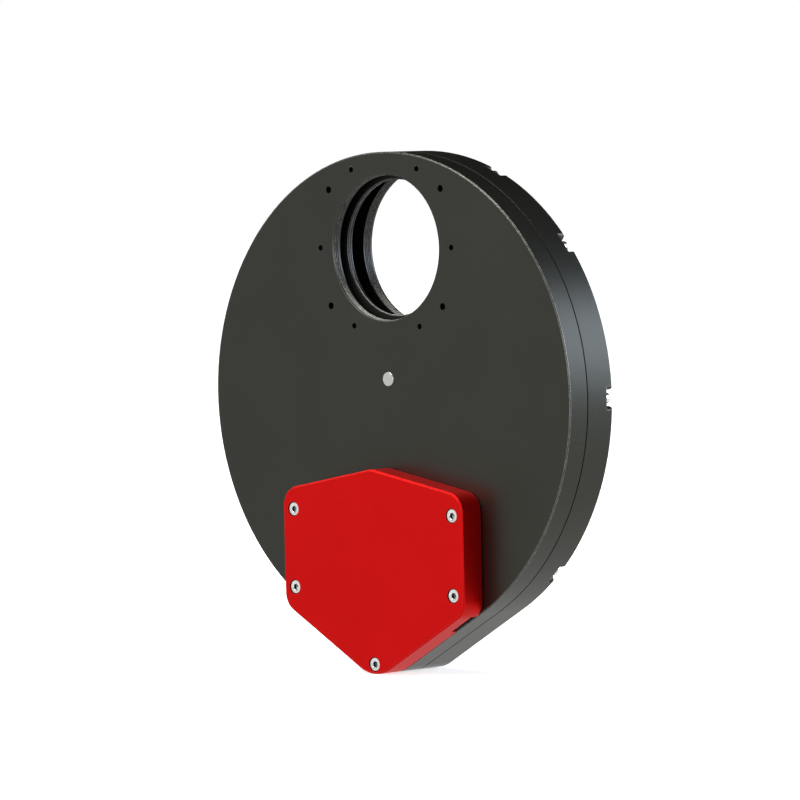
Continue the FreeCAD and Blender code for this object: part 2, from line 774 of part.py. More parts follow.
def carousel():
    disc = toothed_disc("CarouselDisc", CAROUSEL_TEETH, "carousel_thickness",
                        CAROUSEL_FRONT, AXLE_Z, 180)
    hub = cylinder("CarouselHub", "hub_radius",
                   "%s + bearing_recess - %s" % (BEARINGS_END, CAROUSEL_FRONT),
                   CAROUSEL_FRONT, z=AXLE_Z)
    tools = []
    for index in range(int(value("pockets"))):
        angle = "360 / pockets * %d" % index
        x, z = around_axle("pitch_radius", angle)
        tools.append(cylinder("PocketThread%d" % index, "pocket_thread_radius",
                              "carousel_thickness", CAROUSEL_FRONT, x, z))
        tools.append(cylinder("CellSeat%d" % index, "cell_seat_radius",
                              "carousel_thickness - pocket_thread_length",
                              "%s + pocket_thread_length" % CAROUSEL_FRONT, x, z))
        x, z = around_axle(WEB_HOLE_PLACE, "360 / pockets * %.1f" % (index + 0.5))
        tools.append(cylinder("WebHole%d" % index, "web_hole_radius", "carousel_thickness",
                              CAROUSEL_FRONT, x, z))
    for index, (x, z) in enumerate(magnet_places()):
        tools.append(cylinder("MagnetHole%d" % index, "magnet_radius", "magnet_depth",
                              CAROUSEL_FRONT, x, z))
    tools.append(cylinder("FrontBearingSeat", "bearing_radius",
                          "bearing_recess + bearing_width", CAROUSEL_FRONT, z=AXLE_Z))
    tools.append(cylinder("RearBearingSeat", "bearing_radius",
                          "bearing_width + bearing_recess", REAR_BEARING, z=AXLE_Z))
    tools.append(cylinder("HubBore", "bearing_radius - web_lip",
                          "%s - %s" % (BEARINGS_END, CAROUSEL_FRONT), CAROUSEL_FRONT, z=AXLE_Z))
    blank = fuse("CarouselBlank", [disc, hub])
    return keep(cut("Carousel", blank, fuse("CarouselCuts", tools)), "carousel")


def index_magnets():
    magnets = [cylinder("Magnet%d" % index, "magnet_radius", "magnet_depth",
                        CAROUSEL_FRONT, x, z)
               for index, (x, z) in enumerate(magnet_places())]
    return keep(compound("Magnets", magnets), "index_magnets")


# Axle and bearings


def axle():
    """A stepped pin, pressed into the front plate up to its flange, tapped at its rear end."""
    body = new_body("Axle", z=AXLE_Z)
    profile = side_sketch(body, "AxleProfile")
    end = "%s - axle_end_gap" % BEARINGS_END
    flange_end = "front_plate + axle_flange_thickness"
    add_polygon(profile, [
        ("0", "0"),
        ("0", "axle_press_radius - axle_end_break"),
        ("axle_end_break", "axle_press_radius"),
        ("front_plate", "axle_press_radius"),
        ("front_plate", "axle_flange_radius"),
        (flange_end, "axle_flange_radius"),
        (flange_end, "bearing_inner_land"),
        (FRONT_BEARING, "bearing_inner_land"),
        (FRONT_BEARING, "axle_radius"),
        (end, "axle_radius"),
        (end, "0"),
    ])
    turned = body.newObject("PartDesign::Revolution", "AxleTurned")
    turned.Profile = profile
    turned.ReferenceAxis = (origin_feature(body, "Y_Axis"), [""])
    turned.Angle = 360
    finish(body, turned)
    tapped = face_sketch(body, "AxleThread", end)
    add_circle(tapped, "0", "0", "cover_shank")
    pocket(body, tapped, "screw_bite + screw_end_gap", forward=True)
    return keep(body, "axle")


def bearing(side, depth):
    """The two rings and the balls of a small deep-groove bearing."""
    middle = "(bearing_inner_land + bearing_outer_land) / 2"
    grooves = []
    for ring in ("Inner", "Outer"):
        groove = doc.addObject("Part::Torus", "%s%sGroove" % (side, ring))
        bind(groove, "Radius1", middle)
        bind(groove, "Radius2", "ball_radius + ball_play")
        groove.Placement = Placement(Vector(), Rotation(Vector(1, 0, 0), -90))
        bind(groove, "Placement.Base.y", "%s + bearing_width / 2" % depth)
        bind(groove, "Placement.Base.z", AXLE_Z)
        grooves.append(groove)
    inner = cut(side + "InnerBlank",
                cylinder(side + "InnerSolid", "bearing_inner_land", "bearing_width", depth,
                         z=AXLE_Z),
                cylinder(side + "InnerBore", "axle_radius", "bearing_width", depth, z=AXLE_Z))
    outer = cut(side + "OuterBlank",
                cylinder(side + "OuterSolid", "bearing_radius", "bearing_width", depth,
                         z=AXLE_Z),
                cylinder(side + "OuterBore", "bearing_outer_land", "bearing_width", depth,
                         z=AXLE_Z))
    keep(cut(side + "InnerRing", inner, grooves[0]), side.lower() + "_bearing_inner")
    keep(cut(side + "OuterRing", outer, grooves[1]), side.lower() + "_bearing_outer")
    balls = []
    for index in range(int(value("ball_count"))):
        ball = doc.addObject("Part::Sphere", "%sBall%d" % (side, index))
        bind(ball, "Radius", "ball_radius")
        angle = "360 / ball_count * %d" % index
        bind(ball, "Placement.Base.x", "%s * sin(%s)" % (middle, angle))
        bind(ball, "Placement.Base.y", "%s + bearing_width / 2" % depth)
        bind(ball, "Placement.Base.z", "%s + %s * cos(%s)" % (AXLE_Z, middle, angle))
        balls.append(ball)
    keep(compound(side + "Balls", balls), side.lower() + "_bearing_balls")


def axle_end():
    """The spacer between the inner rings, and the washer and screw that hold the stack."""
    spacer = cut("Spacer",
                 cylinder("SpacerSolid", "bearing_inner_land", "bearing_spread",
                          "%s + bearing_width" % FRONT_BEARING, z=AXLE_Z),
                 cylinder("SpacerBore", "axle_radius", "bearing_spread",
                          "%s + bearing_width" % FRONT_BEARING, z=AXLE_Z))
    keep(spacer, "bearing_spacer")
    washer = cut("Washer",
                 cylinder("WasherSolid", "bearing_inner_land", "washer_thickness",
                          BEARINGS_END, z=AXLE_Z),
                 cylinder("WasherBore", "cover_shank + hole_play", "washer_thickness",
                          BEARINGS_END, z=AXLE_Z))
    keep(washer, "axle_washer")
    length = "washer_thickness + axle_end_gap + screw_bite"
    original = screw("AxleScrew", "cover_shank", length, "cover_head", "axle_head_height",
                     "cover_socket")
    keep(placed_copies("AxleScrew", original, [("0", AXLE_Z)],
                       "%s + washer_thickness" % BEARINGS_END, forward=True), "axle_screw")


# Drive


def drive_pinion():
    teeth = toothed_disc("PinionTeeth", "pinion_teeth", "pinion_width", PINION_FRONT,
                         MOTOR_Z, 180.0 / value("pinion_teeth"))
    hub = cylinder("PinionHub", "pinion_hub_radius", "pinion_width + pinion_hub_length",
                   PINION_FRONT, z=MOTOR_Z)
    bore = cylinder("PinionBore", "shaft_radius", "pinion_width + pinion_hub_length",
                    PINION_FRONT, z=MOTOR_Z)
    return keep(cut("Pinion", fuse("PinionBlank", [teeth, hub]), bore), "drive_pinion")


def motor():
    """A flat stepper: can, coils, magnet rotor, shaft in two bushes, and a flange with ears."""
    front = "-motor_height"
    flange_front = "-motor_flange_thickness"
    can = cylinder("CanSolid", "motor_radius", "motor_height - motor_flange_thickness", front,
                   z=MOTOR_Z)
    hollow = cylinder("CanHollow", "motor_radius - motor_can_wall",
                      "motor_height - motor_flange_thickness - motor_can_wall",
                      "motor_can_wall - motor_height", z=MOTOR_Z)
    keep(cut("MotorCan", can, hollow), "motor_can")

    plate = cylinder("FlangeDisc", "motor_radius", "motor_flange_thickness", flange_front,
                     z=MOTOR_Z)
    bar = box("FlangeBar", "2 * %s" % EAR_PLACE, "motor_flange_thickness",
              "2 * motor_ear_radius", "0", flange_front, MOTOR_Z)
    ears = []
    holes = [cylinder("FlangeBore", "bush_radius", "motor_flange_thickness", flange_front,
                      z=MOTOR_Z)]
    for side in ("", "-"):
        name = "Right" if side == "" else "Left"
        ears.append(cylinder(name + "Ear", "motor_ear_radius", "motor_flange_thickness",
                             flange_front, side + EAR_PLACE, MOTOR_Z))
        holes.append(cylinder(name + "EarHole", "small_shank + hole_play",
                              "motor_flange_thickness", flange_front,
                              side + EAR_PLACE, MOTOR_Z))
    keep(cut("MotorFlange", fuse("FlangeBlank", [plate, bar] + ears),
             fuse("MotorFlangeHoles", holes)), "motor_flange")

    stator_front = "stator_end_gap - motor_height"
    stator_length = "motor_height - motor_flange_thickness - 2 * stator_end_gap"
    stator = cut("StatorRing",
                 cylinder("StatorSolid", "motor_radius - motor_can_wall", stator_length,
                          stator_front, z=MOTOR_Z),
                 cylinder("StatorBore", "stator_inner_radius", stator_length, stator_front,
                          z=MOTOR_Z))
    keep(stator, "motor_stator")

    rotor_front = "%s + rotor_end_gap" % stator_front
    rotor_length = "%s - 2 * rotor_end_gap" % stator_length
    rotor = cut("RotorRing",
                cylinder("RotorSolid", "stator_inner_radius - rotor_gap", rotor_length,
                         rotor_front, z=MOTOR_Z),
                cylinder("RotorBore", "shaft_radius", rotor_length, rotor_front, z=MOTOR_Z))
    keep(rotor, "motor_rotor")

    shaft_front = "motor_can_wall - motor_height + shaft_play"
    shaft = cylinder("MotorShaft", "shaft_radius",
                     "%s + shaft_stub - (%s)" % (PINION_END, shaft_front), shaft_front,
                     z=MOTOR_Z)
    keep(shaft, "motor_shaft")

    front_bush_start = "-(motor_flange_thickness + bush_flange_length)"
    bush_length = "motor_flange_thickness + bush_flange_length + pilot_depth"
    keep(cut("RearwardBush",
             cylinder("BushSolid", "bush_radius", bush_length, front_bush_start, z=MOTOR_Z),
             cylinder("BushBore", "shaft_radius + shaft_play", bush_length, front_bush_start,
                      z=MOTOR_Z)), "motor_front_bush")
    end_bush_start = "motor_can_wall - motor_height"
    end_bush_length = "stator_end_gap + rotor_end_gap - motor_can_wall - shaft_play"
    keep(cut("EndBush",
             cylinder("EndBushSolid", "bush_radius", end_bush_length, end_bush_start,
                      z=MOTOR_Z),
             cylinder("EndBushBore", "shaft_radius + shaft_play", end_bush_length,
                      end_bush_start, z=MOTOR_Z)), "motor_end_bush")

    original = screw("MotorScrew", "small_shank", "motor_flange_thickness + short_bite",
                     "small_head", "small_flat_height", "small_socket")
    places = [(EAR_PLACE, MOTOR_Z), ("-" + EAR_PLACE, MOTOR_Z)]
    keep(placed_copies("MotorScrew", original, places, flange_front), "motor_screws")


def motor_leads():
    """The motor's terminal block, its leads and their plug on the control board."""
    row = "lead_count * lead_pitch + 2 * lead_margin"
    lead_depth = "-(%s + %s / 2)" % (BOARD_FACE, PLUG_HEIGHT)
    block_z = "%s + motor_radius" % MOTOR_Z
    block = cut("TerminalBlock",
                box("TerminalSolid", row,
                    "motor_height - motor_flange_thickness - 2 * terminal_inset",
                    "2 * plug_shoulder", "0", "terminal_inset - motor_height", block_z),
                cylinder("TerminalCut", "motor_radius", "motor_height", "-motor_height",
                         z=MOTOR_Z))
    keep(block, "motor_terminal")
    plug_low = "%s + motor_radius + board_motor_gap + plug_shoulder" % MOTOR_Z
    keep(box("LeadPlug", row, PLUG_HEIGHT, "plug_length", "0",
             "-(%s + %s)" % (BOARD_FACE, PLUG_HEIGHT), "%s + plug_length / 2" % plug_low),
         "lead_plug")
    leads = []
    for index in range(int(value("lead_count"))):
        lead = doc.addObject("Part::Cylinder", "Lead%d" % index)
        bind(lead, "Radius", "lead_radius")
        bind(lead, "Height", "%s - (%s + plug_shoulder)" % (plug_low, block_z))
        bind(lead, "Placement.Base.x", "(%d - (lead_count - 1) / 2) * lead_pitch" % index)
        bind(lead, "Placement.Base.y", lead_depth)
        bind(lead, "Placement.Base.z", "%s + plug_shoulder" % block_z)
        leads.append(lead)
    keep(compound("Leads", leads), "motor_leads")


# Motor cover


def cover_corners(inset):
    """The cover's six virtual corners, a distance inside its outer faces."""
    side = "(cover_half_width - %s)" % inset
    apex = "%s - cover_apex_drop - %s / cos(cover_top_slope)" % (BODY_Z, inset)
    top = "%s - %s * tan(cover_top_slope)" % (apex, side)
    low = "%s - (%s - %s - %s * sin(tip_slope)) / cos(tip_slope)" % (
        BODY_Z, BODY_RADIUS, inset, side)
    tip = "%s - (%s - %s) / cos(tip_slope)" % (BODY_Z, BODY_RADIUS, inset)
    return [("0", apex), ("-" + side, top), ("-" + side, low), ("0", tip), (side, low),
            (side, top)]


def round_cover_corners(body, feature, name, inset):
    corners = [(value(x), value(z)) for x, z in cover_corners(inset)]
    tip = corners.pop(3)
    feature = dress(body, "Fillet", name + "Tip", feature, upright_edges(feature, [tip]),
                    "tip_radius - %s" % inset)
    return dress(body, "Fillet", name + "Corners", feature, upright_edges(feature, corners),
                 "cover_corner_radius - %s" % inset)


def motor_cover():
    body = new_body("MotorCover")
    outline = face_sketch(body, "CoverOutline", "-" + COVER_HEIGHT)
    add_polygon(outline, cover_corners("0"))
    last = pad(body, outline, COVER_HEIGHT)
    last = round_cover_corners(body, last, "CoverOuter", "0")
    last = dress(body, "Chamfer", "CoverEdgeBreak", last,
                 edges_at_depth(last, value("-" + COVER_HEIGHT), lambda edge: True),
                 "cover_edge_break")
    hollow = face_sketch(body, "CoverHollow", "-%s" % COVER_INSIDE)
    add_polygon(hollow, cover_corners("cover_wall"))
    last = pocket(body, hollow, COVER_INSIDE)
    last = round_cover_corners(body, last, "CoverInner", "cover_wall")
    dress(body, "Chamfer", "CoverBaseBreak", last, edges_round_face(last, 0), "cover_base_break")

    seats = face_sketch(body, "CoverSeats", "-%s" % COVER_INSIDE)
    for x, drop in COVER_SCREWS:
        add_circle(seats, x, below_body(drop), COUNTERBORE + " + counterbore_wall")
    pad(body, seats, "%s - %s + counterbore_floor" % (COVER_INSIDE, HEAD_SEAT))
    posts = face_sketch(body, "CoverPosts", "-%s" % COVER_INSIDE)
    for x, drop in COVER_SCREWS:
        add_circle(posts, x, below_body(drop), "post_radius")
    pad(body, posts, COVER_INSIDE)
    bores = face_sketch(body, "CoverBores", "-" + COVER_HEIGHT)
    for x, drop in COVER_SCREWS:
        add_circle(bores, x, below_body(drop), COUNTERBORE)
    pocket(body, bores, "%s - %s" % (COVER_HEIGHT, HEAD_SEAT))
    holes = face_sketch(body, "CoverScrewHoles", "-%s" % HEAD_SEAT)
    for x, drop in COVER_SCREWS:
        add_circle(holes, x, below_body(drop), "cover_shank + hole_play")
    pocket(body, holes, HEAD_SEAT)

    slot = face_sketch(body, "SocketSlot", "-(%s)" % SOCKET_SLOT_HEIGHT)
    along = ("cos(tip_slope)", "sin(tip_slope)")
    outward = ("sin(tip_slope)", "-cos(tip_slope)")
    middle = socket_mouth()

    def corner(side, out):
        return tuple("%s + (%s * (socket_width / 2 + socket_side_gap)) * %s"
                     " + (%s * cover_wall * 1.5) * %s"
                     % (middle[axis], side, along[axis], out, outward[axis])
                     for axis in (0, 1))

    add_polygon(slot, [corner(-1, -1), corner(1, -1), corner(1, 1), corner(-1, 1)])
    pocket(body, slot, SOCKET_SLOT_HEIGHT)
    return keep(body, "motor_cover")


def cover_screws():
    original = screw("CoverScrew", "cover_shank", "%s + short_bite" % HEAD_SEAT, "cover_head",
                     "cover_head_height", "cover_socket")
    places = [(x, below_body(drop)) for x, drop in COVER_SCREWS]
    keep(placed_copies("CoverScrew", original, places, "-%s" % HEAD_SEAT), "cover_screws")


# Control board and socket


def socket_mouth():
    """The (x, z) middle of the socket's slot, on the cover's outer face."""
    z = "%s - (%s - %s * sin(tip_slope)) / cos(tip_slope)" % (BODY_Z, BODY_RADIUS, SOCKET_X)
    return SOCKET_X, z


def socket_frame(feature, inward, across, depth):
    """Places a piece of the socket: its x along the sloping wall, its z out of the cover."""
    slope = value("tip_slope")
    feature.Placement = Placement(Vector(), Rotation(Vector(0, 1, 0), 180 - slope))
    x, z = socket_mouth()
    bind(feature, "Placement.Base.x",
         "%s - (%s) * sin(tip_slope) + (%s) * cos(tip_slope)" % (x, inward, across))
    bind(feature, "Placement.Base.y", depth)
    bind(feature, "Placement.Base.z",
         "%s + (%s) * cos(tip_slope) + (%s) * sin(tip_slope)" % (z, inward, across))


def rounded_bar(name, width, height, length, inward, depth):
    """A bar with half-round sides along the socket's axis, as two cylinders and a box."""
    shapes = []
    reach = "((%s) - (%s)) / 2" % (width, height)
    for side, sign in (("Near", "-"), ("Far", "")):
        end = doc.addObject("Part::Cylinder", name + side)
        bind(end, "Radius", "(%s) / 2" % height)
        bind(end, "Height", length)
        socket_frame(end, inward, "%s%s" % (sign, reach), "%s + (%s) / 2" % (depth, height))
        shapes.append(end)
    middle = doc.addObject("Part::Box", name + "Middle")
    bind(middle, "Length", "(%s) - (%s)" % (width, height))
    bind(middle, "Width", height)
    bind(middle, "Height", length)
    socket_frame(middle, inward, reach, depth)
    shapes.append(middle)
    return fuse(name, shapes)


def usb_socket():
    back = "socket_recess + socket_length"
    shell = rounded_bar("SocketShell", "socket_width", "socket_height", "socket_length", back,
                        "-socket_height")
    hollow = rounded_bar("SocketHollow", "socket_width - 2 * socket_wall",
                         "socket_height - 2 * socket_wall", "socket_length - 2 * socket_wall",
                         "socket_recess + socket_length - 2 * socket_wall",
                         "socket_wall - socket_height")
    keep(cut("UsbShell", shell, hollow), "usb_shell")
    tongue = doc.addObject("Part::Box", "UsbTongue")
    bind(tongue, "Length", "tongue_width")
    bind(tongue, "Width", "tongue_thickness")
    bind(tongue, "Height", "tongue_length")
    socket_frame(tongue, "socket_recess + socket_length - 2 * socket_wall", "tongue_width / 2",
                 "-(socket_height + tongue_thickness) / 2")
    keep(tongue, "usb_tongue")


def control_board():
    body = new_body("ControlBoard")
    outline = face_sketch(body, "BoardOutline", "-%s" % BOARD_FACE)
    inset = "(cover_wall + board_edge_gap)"
    add_polygon(outline, cover_corners(inset))
    blank = pad(body, outline, "board_thickness")
    round_cover_corners(body, blank, "Board", inset)
    opening = face_sketch(body, "MotorOpening", "-%s" % BOARD_FACE)
    add_circle(opening, "0", MOTOR_Z, "motor_radius + board_motor_gap")
    pocket(body, opening, "board_thickness")
    slot = face_sketch(body, "MotorSlot", "-%s" % BOARD_FACE)
    tip = "%s - %s / cos(tip_slope)" % (BODY_Z, BODY_RADIUS)
    add_box_outline(slot, "-(motor_radius + board_motor_gap)", tip,
                    "motor_radius + board_motor_gap", MOTOR_Z)
    pocket(body, slot, "board_thickness")
    reliefs = face_sketch(body, "PostReliefs", "-%s" % BOARD_FACE)
    for x, drop in COVER_SCREWS[:4]:
        add_circle(reliefs, x, below_body(drop), "post_radius + board_post_gap")
    pocket(body, reliefs, "board_thickness")
    holes = face_sketch(body, "BoardHoles", "-%s" % BOARD_FACE)
    for x, drop in BOARD_SCREWS:
        add_circle(holes, x, below_body(drop), "small_shank + hole_play")
    pocket(body, holes, "board_thickness")
    keep(body, "control_board")


def board_fasteners():
    places = [(x, below_body(drop)) for x, drop in BOARD_SCREWS]
    spacers = []
    for index, (x, z) in enumerate(places):
        spacers.append(cut("Spacer%d" % index,
                           cylinder("SpacerSolid%d" % index, "spacer_radius", BOARD_LIFT,
                                    "-" + BOARD_LIFT, x, z),
                           cylinder("SpacerHole%d" % index, "small_shank + hole_play",
                                    BOARD_LIFT, "-" + BOARD_LIFT, x, z)))
    keep(compound("Spacers", spacers), "board_spacers")
    original = screw("BoardScrew", "small_shank", "%s + short_bite" % BOARD_FACE, "small_head",
                     "small_flat_height", "small_socket")
    keep(placed_copies("BoardScrew", original, places, "-%s" % BOARD_FACE), "board_screws")


# Chips on the board's front face: width, height, thickness, x, drop below the body's centre.
CHIPS = [
    ("processor_width", "processor_width", "processor_thickness", "-chip_pair_x",
     "chip_pair_drop"),
    ("driver_width", "driver_width", "driver_thickness", "chip_pair_x", "chip_pair_drop"),
    ("regulator_width", "regulator_height", "regulator_thickness", "-regulator_x",
     "regulator_drop"),
    ("capacitor_width", "capacitor_height", "capacitor_thickness", "capacitor_x",
     "capacitor_drop"),
]


def board_chips():
    chips = []
    for index, (width, height, thickness, x, drop) in enumerate(CHIPS):
        chips.append(box("Chip%d" % index, width, thickness, height, x,
                         "-(%s + %s)" % (BOARD_FACE, thickness), below_body(drop)))
    keep(compound("Chips", chips), "board_chips")


def hall_sensor():
    """A leaded sensor that hangs from the board into the window over the magnets' track."""
    z = "-(pitch_radius + %s)" % MAGNET_PLACE
    rear = "%s - sensor_gap" % CAROUSEL_FRONT
    package = box("SensorPackage", "sensor_width", "sensor_thickness", "sensor_height", "0",
                  "%s - sensor_thickness" % rear, z)
    shapes = [package]
    for index in (-1, 0, 1):
        shapes.append(box("SensorLeg%d" % (index + 1), "sensor_leg_width",
                          "%s - sensor_thickness + %s" % (rear, BOARD_LIFT), "sensor_leg_width",
                          "%d * sensor_leg_pitch" % index, "-" + BOARD_LIFT, z))
    keep(fuse("Sensor", shapes), "hall_sensor")


def check(features):
    """Stops on any failed object, and on any piece that isn't a sound shape."""
    for feature in doc.Objects:
        if "Invalid" in feature.State or "Error" in feature.State:
            raise RuntimeError("%s failed: %s" % (feature.Name, feature.State))
    for feature in features:
        shape = feature.Shape
        if shape.isNull() or not shape.isValid() or not shape.Solids:
            raise RuntimeError("%s has no sound shape" % feature.Label)


def main():
    front_shell()
    rear_shell()
    housing_screws()
    carousel()
    index_magnets()
    axle()
    bearing("Front", FRONT_BEARING)
    bearing("Rear", REAR_BEARING)
    axle_end()
    drive_pinion()
    motor()
    motor_leads()
    motor_cover()
    cover_screws()
    usb_socket()
    control_board()
    board_fasteners()
    board_chips()
    hall_sensor()
    doc.recompute()
    check(pieces)
    os.makedirs("parts", exist_ok=True)
    for feature in pieces:
        shape = feature.Shape
        shape.exportStep("parts/%s.step" % feature.Label)
        print("%-22s %d solids, %.1f mm3" % (feature.Label, len(shape.Solids), shape.Volume))


main()
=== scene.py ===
import json
import math
import bmesh
import bpy
from mathutils import Matrix, Vector


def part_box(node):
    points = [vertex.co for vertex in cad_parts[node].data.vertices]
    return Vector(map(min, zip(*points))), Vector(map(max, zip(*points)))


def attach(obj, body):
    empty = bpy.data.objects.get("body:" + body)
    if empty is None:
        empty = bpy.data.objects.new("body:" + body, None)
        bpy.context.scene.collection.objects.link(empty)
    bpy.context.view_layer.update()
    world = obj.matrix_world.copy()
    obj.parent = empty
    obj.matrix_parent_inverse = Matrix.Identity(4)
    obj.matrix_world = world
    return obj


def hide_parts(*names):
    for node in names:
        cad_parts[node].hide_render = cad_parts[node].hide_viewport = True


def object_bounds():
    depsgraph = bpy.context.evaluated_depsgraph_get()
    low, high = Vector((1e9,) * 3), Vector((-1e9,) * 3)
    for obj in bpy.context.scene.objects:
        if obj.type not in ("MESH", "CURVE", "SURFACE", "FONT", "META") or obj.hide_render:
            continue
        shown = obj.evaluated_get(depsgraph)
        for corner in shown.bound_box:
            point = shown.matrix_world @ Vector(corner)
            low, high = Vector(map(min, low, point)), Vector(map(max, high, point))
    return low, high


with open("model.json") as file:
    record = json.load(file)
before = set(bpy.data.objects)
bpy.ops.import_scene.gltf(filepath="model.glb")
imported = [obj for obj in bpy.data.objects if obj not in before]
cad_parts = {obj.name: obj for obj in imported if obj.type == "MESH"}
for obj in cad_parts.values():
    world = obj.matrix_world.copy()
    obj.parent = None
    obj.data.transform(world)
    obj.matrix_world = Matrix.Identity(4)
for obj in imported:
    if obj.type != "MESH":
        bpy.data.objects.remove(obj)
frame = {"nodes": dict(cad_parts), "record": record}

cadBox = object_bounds()
mm = 0.001
nodes = frame["nodes"]
print("frame loaded:", len(nodes), "nodes")

# Places that the detail pieces share, all read from the frame.
frontLow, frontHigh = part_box("front_shell")
rearLow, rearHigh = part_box("rear_shell")
carouselLow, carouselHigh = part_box("carousel")
coverLow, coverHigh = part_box("motor_cover")
carouselAxis = (carouselLow + carouselHigh) / 2
rimRadius = (rearHigh.x - rearLow.x) / 2
rimCentre = rearHigh.z - rimRadius
boreRadius = {item["name"]: item["dims"]["r_mm"] * mm for item in frame["record"]["mounts"]
              if "r_mm" in item["dims"]}


# Materials

def linear(code):
    # sRGB hex to the linear colour that the shaders take
    parts = [int(code[i:i + 2], 16) / 255 for i in (1, 3, 5)]
    return [c / 12.92 if c < 0.04045 else ((c + 0.055) / 1.055) ** 2.4 for c in parts] + [1]


def addNode(tree, kind, settings=None, links=None):
    # settings are the node's own properties or its sockets' values, links go to its sockets
    made = tree.nodes.new(kind)
    for name, value in (settings or {}).items():
        if isinstance(name, str) and hasattr(made, name):
            setattr(made, name, value)
        else:
            made.inputs[name].default_value = value
    for name, source in (links or {}).items():
        tree.links.new(source, made.inputs[name])
    return made


def newMaterial(name):
    material = bpy.data.materials.new(name)
    material.use_nodes = True
    tree = material.node_tree
    tree.nodes.clear()
    place = addNode(tree, "ShaderNodeTexCoord").outputs["Object"]
    return material, tree, place


def blend(tree, factor, low, high):
    # a colour between two, by a factor
    mix = addNode(tree, "ShaderNodeMix", {"data_type": "RGBA"}, {"Factor": factor})
    for index, colour in ((6, low), (7, high)):
        if isinstance(colour, str):
            mix.inputs[index].default_value = linear(colour)
        else:
            tree.links.new(colour, mix.inputs[index])
    return mix.outputs[2]


def noise(tree, place, size, detail=3, roughness=0.5):
    # noise whose blotches are about that size in metres
    made = addNode(tree, "ShaderNodeTexNoise",
                   {"Scale": 1 / size, "Detail": detail, "Roughness": roughness},
                   {"Vector": place})
    return made.outputs["Fac"]


def ramp(tree, source, low, high, first=0.0, last=1.0):
    made = addNode(tree, "ShaderNodeMapRange",
                   {"From Min": low, "From Max": high, "To Min": first, "To Max": last},
                   {"Value": source})
    return made.outputs["Result"]


def edgeWear(tree, width):
    # how far the surface turns within that width of an edge, 0 on a flat and up to 1 on an edge
    bevel = addNode(tree, "ShaderNodeBevel", {"samples": 4, "Radius": width})
    plain = addNode(tree, "ShaderNodeNewGeometry")
    dot = addNode(tree, "ShaderNodeVectorMath", {"operation": "DOT_PRODUCT"},
                  {0: bevel.outputs["Normal"], 1: plain.outputs["Normal"]})
    return ramp(tree, dot.outputs["Value"], 0.995, 0.9)


def paintedHollowShade(tree, tone, tint, reach, start, full):
    # the tone turns to the tint as less of the surroundings within that reach is open: painted
    # shade in hollows
    hollow = addNode(tree, "ShaderNodeAmbientOcclusion", {"samples": 8, "Distance": reach})
    return blend(tree, ramp(tree, hollow.outputs["AO"], start, full), tone, tint)


def finishMaterial(tree, settings, links, height, depth):
    bump = addNode(tree, "ShaderNodeBump", {"Strength": 1.0, "Distance": depth},
                   {"Height": height})
    shader = addNode(tree, "ShaderNodeBsdfPrincipled", settings, links)
    tree.links.new(bump.outputs["Normal"], shader.inputs["Normal"])
    addNode(tree, "ShaderNodeOutputMaterial", None, {"Surface": shader.outputs["BSDF"]})


# The seam's pair is a distance from it along Y, the rim's pair a depth below the outer radius.
shelterLook = {"seam": (1.0 * mm, 1.5 * mm), "rim": (4 * mm, 3 * mm), "within": 0.1}


def exposure(tree, place, look):
    # how far a corner is exposed to rubbing: 0 along the seam, 1 round the outside, little within
    depth = addNode(tree, "ShaderNodeSeparateXYZ", None, {"Vector": place}).outputs["Y"]
    aside = addNode(tree, "ShaderNodeMath", {"operation": "SUBTRACT", 1: frontHigh.y},
                    {0: depth})
    aside = addNode(tree, "ShaderNodeMath", {"operation": "ABSOLUTE"}, {0: aside.outputs[0]})
    across = addNode(tree, "ShaderNodeVectorMath",
                     {"operation": "SUBTRACT", 1: (0, 0, rimCentre)}, {0: place})
    across = addNode(tree, "ShaderNodeVectorMath", {"operation": "MULTIPLY", 1: (1, 0, 1)},
                     {0: across.outputs["Vector"]})
    reach = addNode(tree, "ShaderNodeVectorMath", {"operation": "LENGTH"},
                    {0: across.outputs["Vector"]}).outputs["Value"]
    covered, bare = (rimRadius - below for below in look["rim"])
    both = addNode(tree, "ShaderNodeMath", {"operation": "MULTIPLY"},
                   {0: ramp(tree, aside.outputs[0], *look["seam"]),
                    1: ramp(tree, reach, covered, bare, look["within"], 1)})
    return both.outputs["Value"]


